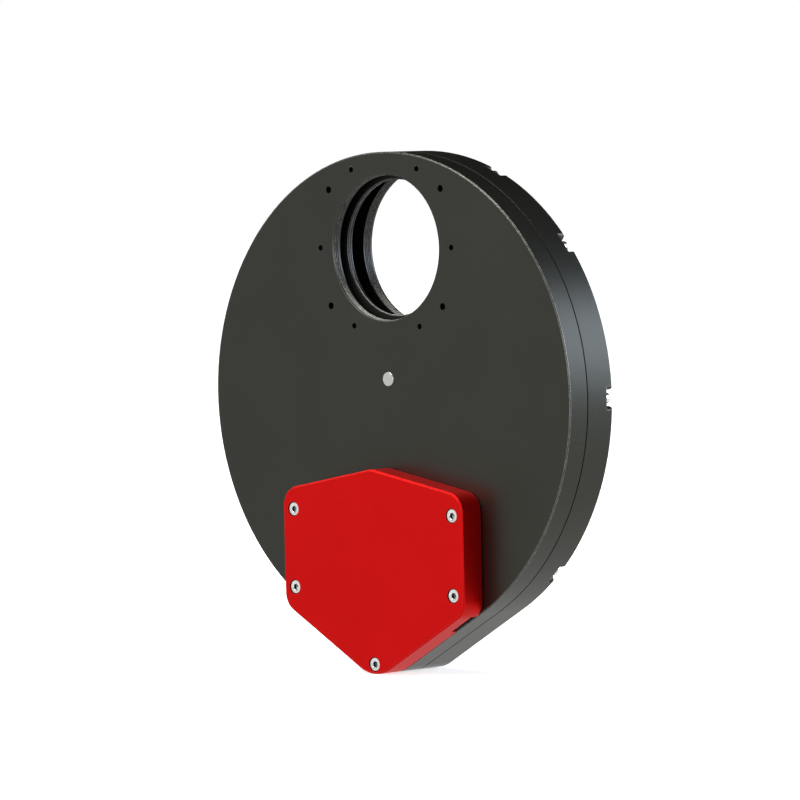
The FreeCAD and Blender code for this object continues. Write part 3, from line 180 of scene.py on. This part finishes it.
def anodisedAluminium(name, look, shelter=None):
    # Bead blasted, then anodised and dyed. The dye colours the metal's reflection, so flat faces
    # mirror the studio in that colour, and the blasting blurs it and leaves a fine even grain. The
    # dye is thinner where corners have rubbed, and the blasting leaves corners more matt. A
    # thread's root is darkened where it is enclosed, which is painted shade.
    material, tree, place = newMaterial(name)
    edges = edgeWear(tree, look["edge"])
    grain = noise(tree, place, look["grain"], 2, 0.6)
    cloud = noise(tree, place, look["cloud"], 4, 0.55)
    tone = blend(tree, ramp(tree, cloud, 0.35, 0.65), look["deep"], look["dye"])
    tone = blend(tree, ramp(tree, grain, 0.45, 0.8, 0.0, look["sparkle"]), tone, look["glint"])
    scuffs = noise(tree, place, look["scuff"], 5, 0.7)
    wear = addNode(tree, "ShaderNodeMath", {"operation": "MULTIPLY"},
                   {0: edges, 1: ramp(tree, scuffs, 0.3, 0.6, 0.3, 1)})
    if shelter:
        wear = addNode(tree, "ShaderNodeMath", {"operation": "MULTIPLY"},
                       {0: wear.outputs["Value"], 1: exposure(tree, place, shelter)})
    worn = ramp(tree, wear.outputs["Value"], 0, 1, 0, look["wear"])
    tone = blend(tree, worn, tone, look["bare"])
    if "root" in look:
        # painted shade: the tone darkens in a thread's enclosed roots
        tone = paintedHollowShade(tree, tone, look["root"], look["rootShadeReach"], 0.9, 0.6)
    gloss = ramp(tree, grain, 0.3, 0.7, look["roughness"] - 0.04, look["roughness"] + 0.05)
    gloss = addNode(tree, "ShaderNodeMath", {"operation": "MULTIPLY_ADD", 1: look["matt"]},
                    {0: edges, 2: gloss}).outputs["Value"]
    finishMaterial(tree, {"Metallic": 1.0}, {"Base Color": tone, "Roughness": gloss},
                   grain, look["relief"])
    return material


def turnedMetal(name, look):
    # Turned, ground or plated metal: bright, with a fine grain that blurs each highlight a little.
    # Sockets and corners are darkened where they are enclosed, which is painted shade.
    material, tree, place = newMaterial(name)
    fine = noise(tree, place, look["grain"], 3, 0.6)
    cloud = noise(tree, place, look["cloud"], 3, 0.5)
    tone = blend(tree, ramp(tree, cloud, 0.3, 0.7), look["deep"], look["bright"])
    tone = blend(tree, ramp(tree, edgeWear(tree, look["edge"]), 0, 1, 0, 0.5), tone, look["bare"])
    # painted shade: the tone darkens in sockets and corners
    tone = paintedHollowShade(tree, tone, look["shadeTint"], look["shadeReach"], 0.72, 0.5)
    gloss = ramp(tree, fine, 0.3, 0.7, look["roughness"] - 0.06, look["roughness"] + 0.08)
    finishMaterial(tree, {"Metallic": 1.0}, {"Base Color": tone, "Roughness": gloss},
                   fine, look["relief"])
    return material


def mouldedPlastic(name, look):
    # Moulded or coated: no metal, a soft sheen and a faint orange peel.
    material, tree, place = newMaterial(name)
    peel = noise(tree, place, look["grain"], 3, 0.5)
    cloud = noise(tree, place, look["cloud"], 3, 0.5)
    tone = blend(tree, ramp(tree, cloud, 0.3, 0.7), look["deep"], look["bright"])
    tone = blend(tree, ramp(tree, edgeWear(tree, look["edge"]), 0, 1, 0, 0.35), tone, look["bare"])
    gloss = ramp(tree, peel, 0.3, 0.7, look["roughness"] - 0.05, look["roughness"] + 0.08)
    finishMaterial(tree, {"IOR": look["ior"]}, {"Base Color": tone, "Roughness": gloss},
                   peel, look["relief"])
    return material


housingLook = {"dye": "#393a35", "deep": "#373833", "glint": "#51524c", "bare": "#b4b5b1",
               "sparkle": 0.3, "grain": 0.35 * mm, "cloud": 30 * mm, "scuff": 1.5 * mm,
               "edge": 0.3 * mm, "wear": 0.9, "matt": 0.0, "roughness": 0.4, "relief": 0.012 * mm}
carouselLook = dict(housingLook, dye="#2b2b2a", deep="#242424", glint="#3a3a39", wear=0.42,
                    roughness=0.48)
coverLook = {"dye": "#be0d0d", "deep": "#bb0c0c", "glint": "#c91716", "bare": "#c98078",
             "sparkle": 0.2, "grain": 0.35 * mm, "cloud": 25 * mm, "scuff": 1.5 * mm,
             "edge": 0.3 * mm, "wear": 0.25, "matt": 0.3, "roughness": 0.55, "relief": 0.01 * mm}
# The darker tint and its reach give painted shade in sockets and corners.
steelLook = {"bright": "#dfe0de", "deep": "#cfd0ce", "bare": "#eceded", "shadeTint": "#65716f",
             "shadeReach": 2.5 * mm, "grain": 0.12 * mm, "cloud": 2 * mm, "edge": 0.15 * mm,
             "roughness": 0.26, "relief": 0.005 * mm}
plasticLook = {"bright": "#1d1e20", "deep": "#17181a", "bare": "#2c2d30", "grain": 0.2 * mm,
               "cloud": 4 * mm, "edge": 0.15 * mm, "roughness": 0.45, "ior": 1.5,
               "relief": 0.01 * mm}
finishes = {
    "housing": anodisedAluminium("blackAnodisedAluminium", housingLook, shelterLook),
    "carousel_black": anodisedAluminium("mattAnodisedAluminium", carouselLook),
    "cover_red": anodisedAluminium("redAnodisedAluminium", coverLook),
    "screw_steel": turnedMetal("stainlessSteel", steelLook),
    "axle_steel": turnedMetal("turnedSteel", dict(steelLook, bright="#c4c5c0", deep="#b2b3ae",
                                                  roughness=0.32)),
    "bearing_steel": turnedMetal("polishedBearingSteel", dict(steelLook, roughness=0.15)),
    "magnet_nickel": turnedMetal("nickelPlate", dict(steelLook, bright="#cdc8bc",
                                                     deep="#bfb9ac", roughness=0.2)),
    "pinion_brass": turnedMetal("cutBrass", dict(steelLook, bright="#d9b565", deep="#c79f4f",
                                                 bare="#ecd392")),
    "motor_steel": turnedMetal("zincPlatedSteel", dict(steelLook, bright="#a9abae",
                                                       deep="#94969a", roughness=0.38)),
    "motor_ferrite": mouldedPlastic("sinteredFerrite", dict(plasticLook, bright="#38383a",
                                                            deep="#2c2c2f")),
    "coil_former": mouldedPlastic("mouldedNylonFormer", dict(plasticLook, bright="#3c3d40",
                                                             deep="#313236")),
    "bush_bronze": turnedMetal("sinteredBronze", dict(steelLook, bright="#a9814f",
                                                      deep="#8f6a3d", roughness=0.45)),
    "board_green": mouldedPlastic("solderMask", dict(plasticLook, bright="#14572f",
                                                     deep="#0f4a27", roughness=0.3)),
    "chip_black": mouldedPlastic("mouldedEpoxy", plasticLook),
    "plug_white": mouldedPlastic("mouldedNylon", dict(plasticLook, bright="#ddd9cd",
                                                      deep="#d2cdbf", bare="#efece3")),
    "lead_insulation": mouldedPlastic("wireInsulation", dict(plasticLook, bright="#9c1c1c",
                                                             deep="#861616", bare="#b33a3a")),
    "socket_steel": turnedMetal("tinPlatedSteel", dict(steelLook, bright="#c9cbce",
                                                       deep="#b4b6ba", roughness=0.22)),
}

for node in nodes.values():
    for place in node.material_slots:
        place.material = finishes[place.material.name]
print("materials made:", len(finishes))


# Detail pieces

weldFine = 0.001 * mm
weldCoarse = 0.002 * mm
sharpAngle = math.radians(28)


def finishPiece(name, mesh, slot, body):
    bmesh.ops.remove_doubles(mesh, verts=mesh.verts, dist=weldFine)
    bmesh.ops.recalc_face_normals(mesh, faces=mesh.faces)
    data = bpy.data.meshes.new(name)
    mesh.to_mesh(data)
    mesh.free()
    data.shade_smooth()
    data.set_sharp_from_angle(angle=sharpAngle)
    data.materials.append(finishes[slot])
    piece = bpy.data.objects.new(name, data)
    bpy.context.collection.objects.link(piece)
    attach(piece, body)
    return piece


# A darker copy of the housing's anodised finish for the bore threads, painted shade, with painted
# shade deepest in the roots.
shadedThreadFinish = anodisedAluminium("threadedAluminiumPaintedShade",
                                 dict(housingLook, dye="#1b1b1a", deep="#141413",
                                      glint="#33332f", wear=0.45, roughness=0.42,
                                      root="#0c0c0c", rootShadeReach=0.4 * mm))
threadLook = {"pitch": 0.75 * mm, "depth": 0.3 * mm, "flank": 30, "crest": 0.08,
              "root": 0.015 * mm, "steps": 144}
threads = {
    "camera_thread": {"radius": boreRadius["camera_bore"], "first": 0.3 * mm, "last": 3.5 * mm,
                      "slot": "housing", "body": "housing"},
    "telescope_thread": {"radius": boreRadius["telescope_thread"], "first": 16.9 * mm,
                         "last": 20.9 * mm, "slot": "housing", "body": "housing"},
    "filter_threads": {"radius": boreRadius["filter_thread"], "first": 5.75 * mm,
                       "last": 7.75 * mm, "slot": "carousel_black", "body": "carousel"},
}
pocketCount = 5


def windThread(mesh, middle, size, look):
    # A ridge with a cut-off vee section and a flat root, wound against the wall of a bore from
    # its front mouth. Places along the section are shares of the pitch.
    pitch = look["pitch"]
    turns = int((size["last"] - size["first"]) / pitch) - 1
    root = look["root"]
    slope = math.tan(math.radians(look["flank"])) * (look["depth"] - root) / pitch
    crest = look["crest"] / 2
    section = ((0, 0.01), (root, 0.01), (root, 0.5 - crest - slope), (look["depth"], 0.5 - crest),
               (look["depth"], 0.5 + crest), (root, 0.5 + crest + slope), (root, 0.99), (0, 0.99))
    ring = [mesh.verts.new((middle.x + size["radius"] - inset, size["first"] + along * pitch,
                            middle.z)) for inset, along in section]
    sides = [mesh.edges.new((ring[i], ring[i - 1])) for i in range(len(ring))]
    wound = bmesh.ops.spin(mesh, geom=ring + sides, cent=middle, axis=(0, 1, 0),
                           dvec=(0, pitch / look["steps"], 0), angle=turns * math.tau,
                           steps=turns * look["steps"])
    mesh.faces.new(ring)
    mesh.faces.new([item for item in wound["geom_last"] if isinstance(item, bmesh.types.BMVert)])


def makeThreads():
    for name, size in threads.items():
        mesh = bmesh.new()
        opticalAxis = Vector((0, 0, 0))
        wheelAxis = Vector((0, 0, carouselAxis.z))
        for i in range(pocketCount if name == "filter_threads" else 1):
            turn = Matrix.Rotation(i * math.tau / pocketCount, 3, "Y")
            windThread(mesh, wheelAxis + turn @ (opticalAxis - wheelAxis), size, threadLook)
        piece = finishPiece(name, mesh, size["slot"], size["body"])
        # the threads take the darker copy of the finish, which is painted shade
        piece.data.materials[0] = shadedThreadFinish


makeThreads()
print("threads wound:", len(threads))

screwSizes = {
    "cover_screws": {"head": 2.5 * mm, "shank": 1.25 * mm, "hexagon": 2.0 * mm,
                     "socket": 1.25 * mm, "pitch": 0.45 * mm, "inFront": True},
    "shell_screws": {"head": 2.0 * mm, "shank": 1.0 * mm, "hexagon": 1.5 * mm,
                     "socket": 1.0 * mm, "pitch": 0.4 * mm, "inFront": False},
}
screwLook = {"segments": 48, "rounding": 0.22 * mm, "threadDepth": 0.2 * mm,
             "knurl": 0.035 * mm, "countersink": 0.12 * mm, "neck": 0.1 * mm,
             "drillPoint": 0.3 * mm, "drillShare": 0.55, "turnFirst": 15, "turnStep": 47}


def solidBoxes(node):
    # The lowest and highest corner of every separate solid in a CAD node. They are sorted from left
    # to right, then upwards, because a set's own order differs from run to run.
    mesh = bmesh.new()
    mesh.from_mesh(nodes[node].data)
    bmesh.ops.remove_doubles(mesh, verts=mesh.verts, dist=weldCoarse)
    left = set(mesh.verts)
    boxes = []
    while left:
        waiting = [left.pop()]
        island = []
        while waiting:
            vert = waiting.pop()
            island.append(vert.co.copy())
            for edge in vert.link_edges:
                other = edge.other_vert(vert)
                if other in left:
                    left.remove(other)
                    waiting.append(other)
        boxes.append((Vector(map(min, zip(*island))), Vector(map(max, zip(*island)))))
    mesh.free()
    return sorted(boxes, key=lambda box: (round(box[0].x, 5), round(box[0].z, 5)))


def turnScrew(mesh, radius, length, size, look):
    # A socket head screw about the Y axis, with the top of its head at 0 and its tip at length.
    hexagon = size["hexagon"] / math.sqrt(3)
    core = size["shank"] - look["threadDepth"]
    neck = look["neck"]
    profile = [(hexagon + look["countersink"], 0), (radius, 0), (radius, size["head"]),
               (size["shank"] + neck, size["head"]), (size["shank"], size["head"] + neck)]
    along = size["head"] + size["pitch"]
    while along < length - 1.5 * size["pitch"]:
        profile += [(size["shank"], along), (core, along + 0.5 * size["pitch"])]
        along += size["pitch"]
    profile += [(size["shank"], along), (core, length), (0, length)]
    line = [mesh.verts.new((reach, depth, 0)) for reach, depth in profile]
    edges = [mesh.edges.new(pair) for pair in zip(line, line[1:])]
    bmesh.ops.spin(mesh, geom=line + edges, cent=(0, 0, 0), axis=(0, 1, 0), angle=math.tau,
                   steps=look["segments"], use_merge=True)
    bmesh.ops.remove_doubles(mesh, verts=mesh.verts, dist=weldCoarse)

    # The driver's hexagon, with a small countersink round it and a drilled bottom
    mouth = [edge for edge in mesh.edges if edge.is_boundary]
    turn = Matrix.Translation((0, neck, 0)) @ Matrix.Rotation(math.pi / 2, 4, "X")
    bmesh.ops.create_circle(mesh, segments=6, radius=hexagon, matrix=turn)
    sides = [edge for edge in mesh.edges if not edge.link_faces]
    bmesh.ops.subdivide_edges(mesh, edges=sides, cuts=look["segments"] // 6 - 1)
    sides = [edge for edge in mesh.edges if not edge.link_faces]
    bmesh.ops.bridge_loops(mesh, edges=mouth + sides)
    for shrink, deeper in ((1.0, size["socket"]),
                           (look["drillShare"], size["socket"] + look["drillPoint"])):
        rim = [edge for edge in mesh.edges if edge.is_boundary]
        made = bmesh.ops.extrude_edge_only(mesh, edges=rim)["geom"]
        for vert in [item for item in made if isinstance(item, bmesh.types.BMVert)]:
            vert.co = (vert.co.x * shrink, deeper, vert.co.z * shrink)
    bmesh.ops.holes_fill(mesh, edges=[edge for edge in mesh.edges if edge.is_boundary], sides=0)
    bmesh.ops.recalc_face_normals(mesh, faces=mesh.faces)

    # Straight knurling round the head, and a rounded edge on its top
    grip = [face for face in mesh.faces if face.calc_center_median().xz.length > radius * 0.97
            and abs(face.normal.y) < 0.1]
    bmesh.ops.inset_individual(mesh, faces=grip, thickness=0.2 * look["knurl"],
                               depth=-look["knurl"])
    corner = [edge for edge in mesh.edges
              if all(vert.co.y < weldFine and vert.co.xz.length > radius * 0.99
                     for vert in edge.verts)]
    bmesh.ops.bevel(mesh, geom=corner, offset=look["rounding"], segments=3, profile=0.5,
                    material=-1, affect="EDGES")


def makeScrews(name, size):
    boxes = solidBoxes(name)
    one = bmesh.new()
    low, high = boxes[0]
    turnScrew(one, (high.x - low.x) / 2, high.y - low.y, size, screwLook)
    pattern = bpy.data.meshes.new(name)
    one.to_mesh(pattern)
    one.free()
    mesh = bmesh.new()
    for index, (low, high) in enumerate(boxes):
        top = low.y if size["inFront"] else high.y
        place = Matrix.Translation(((low.x + high.x) / 2, top, (low.z + high.z) / 2))
        if not size["inFront"]:
            place = place @ Matrix.Rotation(math.pi, 4, "X")
        turn = math.radians(screwLook["turnFirst"] + screwLook["turnStep"] * index)
        place = place @ Matrix.Rotation(turn, 4, "Y")
        before = len(mesh.verts)
        mesh.from_mesh(pattern)
        mesh.verts.ensure_lookup_table()
        bmesh.ops.transform(mesh, matrix=place, verts=mesh.verts[before:])
    bpy.data.meshes.remove(pattern)
    piece = finishPiece("detailed_" + name, mesh, "screw_steel", "housing")
    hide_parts(name)


for node, size in screwSizes.items():
    makeScrews(node, size)
print("screws turned:", len(screwSizes), "groups")

contactLook = {"count": 12, "pitch": 0.5 * mm, "width": 0.3 * mm, "thickness": 0.03 * mm,
               "start": 0.08, "length": 0.6, "rounding": 0.08 * mm}
# Its darker tint is painted shade in the socket's hollows.
goldPlate = turnedMetal("goldPlate", dict(steelLook, bright="#e2b64e", deep="#d3a440",
                                          bare="#f0d27e", shadeTint="#9c7a2c", roughness=0.22))


def makeContacts(look):
    # The socket's gold plated contacts, a row on each side of its tongue, from the mouth inwards.
    # Their start and length are shares of the tongue's length.
    low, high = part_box("usb_tongue")
    corners = {tuple(round(c, 6) for c in vert.co) for vert in nodes["usb_tongue"].data.vertices
               if vert.co.y < (low.y + high.y) / 2}
    corners = [Vector(corner) for corner in sorted(corners)]
    sides = sorted((corner - corners[0] for corner in corners[1:]), key=lambda side: side.length)
    inward, along = sides[0], sides[1]
    middle = corners[0] + (inward + along) / 2
    outward = middle - (coverLow + coverHigh) / 2
    outward.y = 0
    if inward.dot(outward) > 0:
        inward = -inward
    mouth = middle - inward / 2
    across = along.normalized()
    mesh = bmesh.new()
    for face, lift in ((low.y, -look["thickness"]), (high.y, look["thickness"])):
        for index in range(look["count"]):
            middle = mouth + across * (index - (look["count"] - 1) / 2) * look["pitch"]
            middle += inward * (look["start"] + look["length"] / 2)
            pad = []
            for side, end in ((-1, -1), (1, -1), (1, 1), (-1, 1)):
                corner = middle + across * side * look["width"] / 2
                corner += inward * end * look["length"] / 2
                pad.append(mesh.verts.new((corner.x, face, corner.z)))
            plate = mesh.faces.new(pad)
            raised = bmesh.ops.extrude_face_region(mesh, geom=[plate])["geom"]
            raised = [item for item in raised if isinstance(item, bmesh.types.BMVert)]
            bmesh.ops.translate(mesh, verts=raised, vec=(0, lift, 0))
    bmesh.ops.holes_fill(mesh, edges=[edge for edge in mesh.edges if edge.is_boundary], sides=0)
    rise = [edge for edge in mesh.edges
            if abs(edge.verts[0].co.y - edge.verts[1].co.y) > look["thickness"] / 2]
    bmesh.ops.bevel(mesh, geom=rise, offset=look["rounding"], segments=2, profile=0.5,
                    material=-1, affect="EDGES")
    piece = finishPiece("socket_contacts", mesh, "socket_steel", "housing")
    piece.data.materials[0] = goldPlate


makeContacts(contactLook)
print("contacts plated")


# Stage, lights and camera

# Each four is where a ramp starts and ends, in metres on the floor, and its two strengths.
stageLook = {"floorSize": 6.0, "drop": 0.2 * mm, "paper": "#f4f4f2",
             "glow": (0.3, 1.2, 0.66, 1.0), "left": (-0.5, -0.15, 0, 1), "behind": (0.4, 0.0, 0, 1),
             "mirrored": (0.05, 1.12)}


def makeStage(look):
    # Pale paper. It glows white for mirrored rays, and for the camera it keeps a faint soft shadow.
    floorMesh = bpy.data.meshes.new("floor")
    shape = bmesh.new()
    bmesh.ops.create_grid(shape, x_segments=1, y_segments=1, size=look["floorSize"])
    bmesh.ops.translate(shape, verts=shape.verts, vec=(0, 0, cadBox[0].z - look["drop"]))
    shape.to_mesh(floorMesh)
    shape.free()
    floor = bpy.data.objects.new("floor", floorMesh)
    bpy.context.collection.objects.link(floor)
    material, tree, place = newMaterial("palePaper")
    path = addNode(tree, "ShaderNodeLightPath")
    paper = addNode(tree, "ShaderNodeBsdfDiffuse", {"Color": linear(look["paper"])})
    far = addNode(tree, "ShaderNodeVectorMath", {"operation": "LENGTH"}, {0: place})
    # For the camera the glow is weaker near the object and white far off: light painted onto the
    # paper that grows with distance.
    glow = addNode(tree, "ShaderNodeEmission", None,
                   {"Strength": ramp(tree, far.outputs["Value"], *look["glow"])})
    # Far off behind on the left the paper's mirrored glow ends, and the studio is dark.
    spread = addNode(tree, "ShaderNodeSeparateXYZ", None, {"Vector": place})
    fade = addNode(tree, "ShaderNodeMath", {"operation": "MAXIMUM"},
                   {0: ramp(tree, spread.outputs["X"], *look["left"]),
                    1: ramp(tree, spread.outputs["Y"], *look["behind"])})
    strength = ramp(tree, fade.outputs["Value"], 0, 1, *look["mirrored"])
    mirrored = addNode(tree, "ShaderNodeEmission", None, {"Strength": strength})
    shown = addNode(tree, "ShaderNodeAddShader", None,
                    {0: glow.outputs["Emission"], 1: paper.outputs["BSDF"]})
    indirect = addNode(tree, "ShaderNodeMath", {"operation": "MAXIMUM"},
                       {0: path.outputs["Is Glossy Ray"], 1: path.outputs["Is Transmission Ray"]})
    bounced = addNode(tree, "ShaderNodeMixShader", None,
                      {"Fac": indirect.outputs["Value"], 1: paper.outputs["BSDF"],
                       2: mirrored.outputs["Emission"]})
    last = addNode(tree, "ShaderNodeMixShader", None,
                   {"Fac": path.outputs["Is Camera Ray"], 1: bounced.outputs[0],
                    2: shown.outputs[0]})
    addNode(tree, "ShaderNodeOutputMaterial", None, {"Surface": last.outputs[0]})
    floorMesh.materials.append(material)


# Each four is where a ramp starts and ends along a direction's X, Y or Z, and its two strengths.
studioLook = {"right": (-0.5, 0.2, 0, 1), "front": (0.3, -0.1, 0, 1),
              "band": (0.0, 0.12, 1.12, 0.04), "ahead": (0.1, -0.4, 0, 1),
              "high": (0.35, 0.8, 0.5, 0.3), "aside": (-0.3, 0.45, 0, 0.3)}


def makeWorld(look):
    # White for the camera. Mirrored rays see a studio that is white in front and near the floor,
    # and dark above and behind.
    world = bpy.data.worlds.new("studio")
    bpy.context.scene.world = world
    world.use_nodes = True
    tree = world.node_tree
    tree.nodes.clear()
    path = addNode(tree, "ShaderNodeLightPath")
    direction = addNode(tree, "ShaderNodeTexCoord").outputs["Generated"]
    split = addNode(tree, "ShaderNodeSeparateXYZ", None, {"Vector": direction})
    near = addNode(tree, "ShaderNodeMath", {"operation": "MAXIMUM"},
                   {0: ramp(tree, split.outputs["X"], *look["right"]),
                    1: ramp(tree, split.outputs["Y"], *look["front"])})
    low = addNode(tree, "ShaderNodeMath", {"operation": "MULTIPLY"},
                  {0: ramp(tree, split.outputs["Z"], *look["band"]),
                   1: near.outputs["Value"]}).outputs["Value"]
    ahead = ramp(tree, split.outputs["Y"], *look["ahead"])
    high = ramp(tree, split.outputs["Z"], *look["high"])
    front = addNode(tree, "ShaderNodeMath", {"operation": "MULTIPLY"}, {0: ahead, 1: high})
    aside = ramp(tree, split.outputs["X"], *look["aside"])
    room = addNode(tree, "ShaderNodeMath", {"operation": "MAXIMUM"},
                   {0: low, 1: front.outputs["Value"]})
    room = addNode(tree, "ShaderNodeMath", {"operation": "MAXIMUM"},
                   {0: room.outputs["Value"], 1: aside})
    direct = addNode(tree, "ShaderNodeMath", {"operation": "MAXIMUM"},
                     {0: path.outputs["Is Camera Ray"], 1: path.outputs["Is Transmission Ray"]})
    seen = addNode(tree, "ShaderNodeMix", {"data_type": "FLOAT", "B": 1.0},
                   {"Factor": direct.outputs["Value"], "A": room.outputs["Value"]})
    back = addNode(tree, "ShaderNodeBackground", {"Color": linear("#ffffff")},
                   {"Strength": seen.outputs["Result"]})
    addNode(tree, "ShaderNodeOutputWorld", None, {"Surface": back.outputs["Background"]})


lamps = {
    "keyLamp": {"place": (-0.26, -0.9, 1.0), "size": 1.25, "power": 27, "colour": "#fffdf8"},
    "highLamp": {"place": (-0.95, -0.45, 0.95), "size": 0.35, "power": 5.5, "colour": "#ffffff"},
    "topLamp": {"place": (-0.05, 0.05, 1.4), "size": 1.0, "power": 6.5, "colour": "#ffffff"},
    "fillLamp": {"place": (0.98, -1.08, 0.3), "size": 0.4, "power": 3.5, "colour": "#ffffff"},
    "rimLamp": {"place": (0.762, 0.863, 0.34), "size": 0.62, "power": 8.8, "colour": "#dde7ff"},
}


def makeLamps(looks):
    middle = (cadBox[0] + cadBox[1]) / 2
    for name, look in looks.items():
        data = bpy.data.lights.new(name, "AREA")
        data.shape = "DISK"
        data.size = look["size"]
        data.energy = look["power"]
        data.color = linear(look["colour"])[:3]
        lamp = bpy.data.objects.new(name, data)
        bpy.context.collection.objects.link(lamp)
        lamp.location = middle + Vector(look["place"])
        lamp.rotation_mode = "QUATERNION"
        lamp.rotation_quaternion = (middle - lamp.location).to_track_quat("-Z", "Y")


cameraLook = {"azimuth": 43.98, "elevation": 2.715, "roll": -1.228, "distance": 1.8558,
              "lens": 243.39, "shift": (0.0147, -0.0042)}


def makeCamera(look):
    # aimed at the middle of the housing's circle, which the flat rear plate gives
    aim = Vector((0, frontLow.y, rimCentre))
    azimuth, elevation = math.radians(look["azimuth"]), math.radians(look["elevation"])
    back = Vector((math.sin(azimuth) * math.cos(elevation),
                   -math.cos(azimuth) * math.cos(elevation), math.sin(elevation)))
    right = Vector((0, 0, 1)).cross(back).normalized()
    up = back.cross(right)
    turn = Matrix((right, up, back)).transposed()
    turn = turn @ Matrix.Rotation(math.radians(look["roll"]), 3, "Z")
    camera = bpy.data.objects.new("camera", bpy.data.cameras.new("camera"))
    bpy.context.collection.objects.link(camera)
    camera.matrix_world = Matrix.Translation(aim + back * look["distance"]) @ turn.to_4x4()
    camera.data.sensor_width = 36
    camera.data.lens = look["lens"]
    camera.data.shift_x, camera.data.shift_y = look["shift"]
    bpy.context.scene.camera = camera


makeStage(stageLook)
makeWorld(studioLook)
makeLamps(lamps)
makeCamera(cameraLook)
bpy.context.scene.view_settings.view_transform = "Standard"
print("stage, lamps and camera set")
